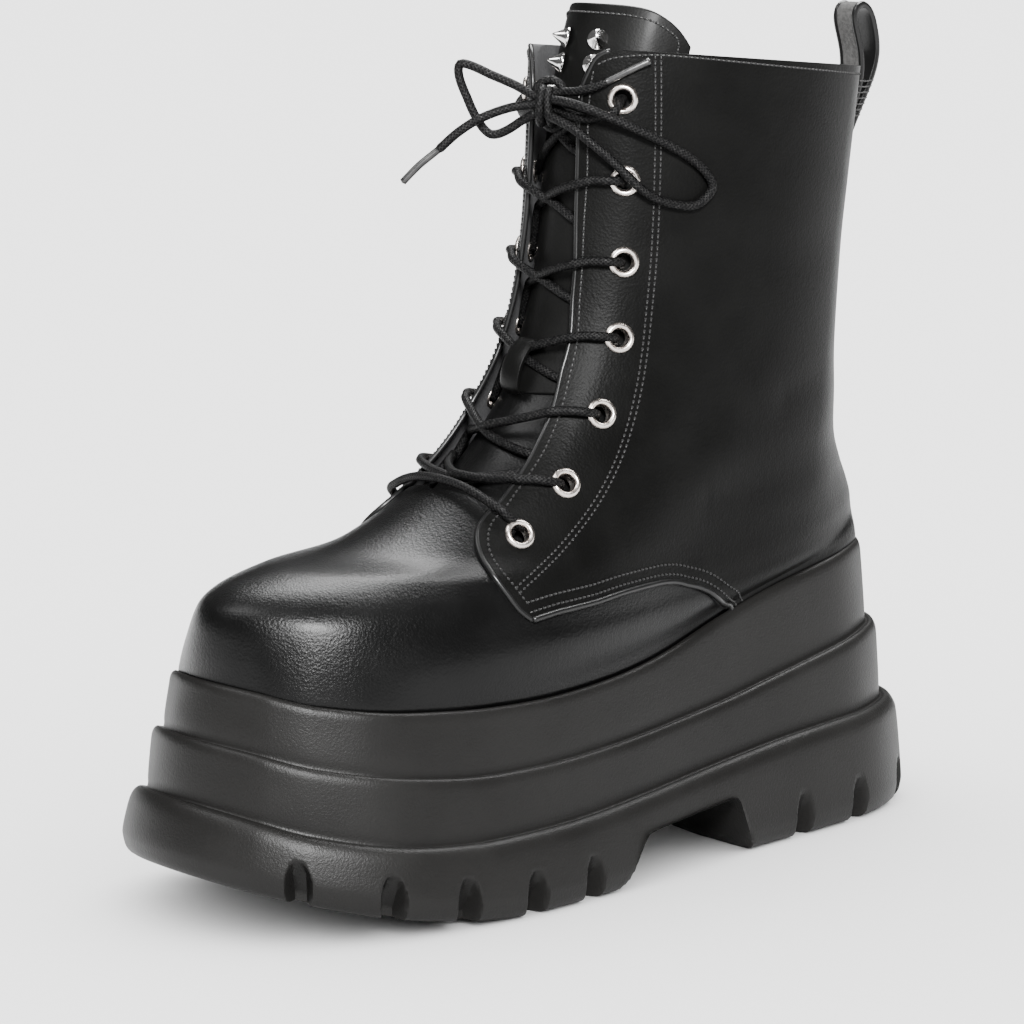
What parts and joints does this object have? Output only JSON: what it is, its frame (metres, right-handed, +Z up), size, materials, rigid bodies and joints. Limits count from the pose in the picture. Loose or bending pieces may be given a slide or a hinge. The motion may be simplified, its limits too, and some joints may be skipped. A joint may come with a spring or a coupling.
{
  "type": "platform lace-up ankle boot",
  "caption": "Left lace-up platform ankle boot: hollow leather upper, studded tongue, metal eyelets, tied bow and a tiered rubber platform sole.",
  "frame": {"origin": "on the floor under the middle of the box of the boot without its bow and lace ends", "axes": "+Z up, toe toward -Y, heel toward +Y, outer (lateral) side toward +X"},
  "size_m": [0.1158, 0.29, 0.2618],
  "materials": {
    "leather": "satin pebble grain",
    "sole": "matte moulded",
    "lining": "brushed",
    "nickel": "polished, slightly warm",
    "chrome": "polished",
    "lace": "waxed round braid",
    "webbing": "woven strap with bound edges"
  },
  "bodies": {
    "root": {"eyelet_lateral_1": "nickel", "eyelet_lateral_2": "nickel", "eyelet_lateral_3": "nickel", "eyelet_lateral_4": "nickel", "eyelet_lateral_5": "nickel", "eyelet_lateral_6": "nickel", "eyelet_lateral_7": "nickel", "eyelet_medial_1": "nickel", "eyelet_medial_2": "nickel", "eyelet_medial_3": "nickel", "eyelet_medial_4": "nickel", "eyelet_medial_5": "nickel", "eyelet_medial_6": "nickel", "eyelet_medial_7": "nickel", "insole": "lining", "lace_bar": "lace", "lace_end_left": "lace", "lace_end_right": "lace", "lace_keeper": "leather", "lace_knot": "lace", "lace_loop_left": "lace", "lace_loop_right": "lace", "lace_row_1": "lace", "lace_row_2": "lace", "lace_row_3": "lace", "lace_row_4": "lace", "lace_row_5": "lace", "lace_row_6": "lace", "lace_tie_lateral": "lace", "lace_tie_medial": "lace", "pull_loop": "webbing", "stud_lateral_1": "chrome", "stud_lateral_2": "chrome", "stud_lateral_3": "chrome", "stud_medial_1": "chrome", "stud_medial_2": "chrome", "stud_medial_3": "chrome", "tongue": "leather", "unit_sole": "sole", "upper": "leather"}
  },
  "joints": []
}
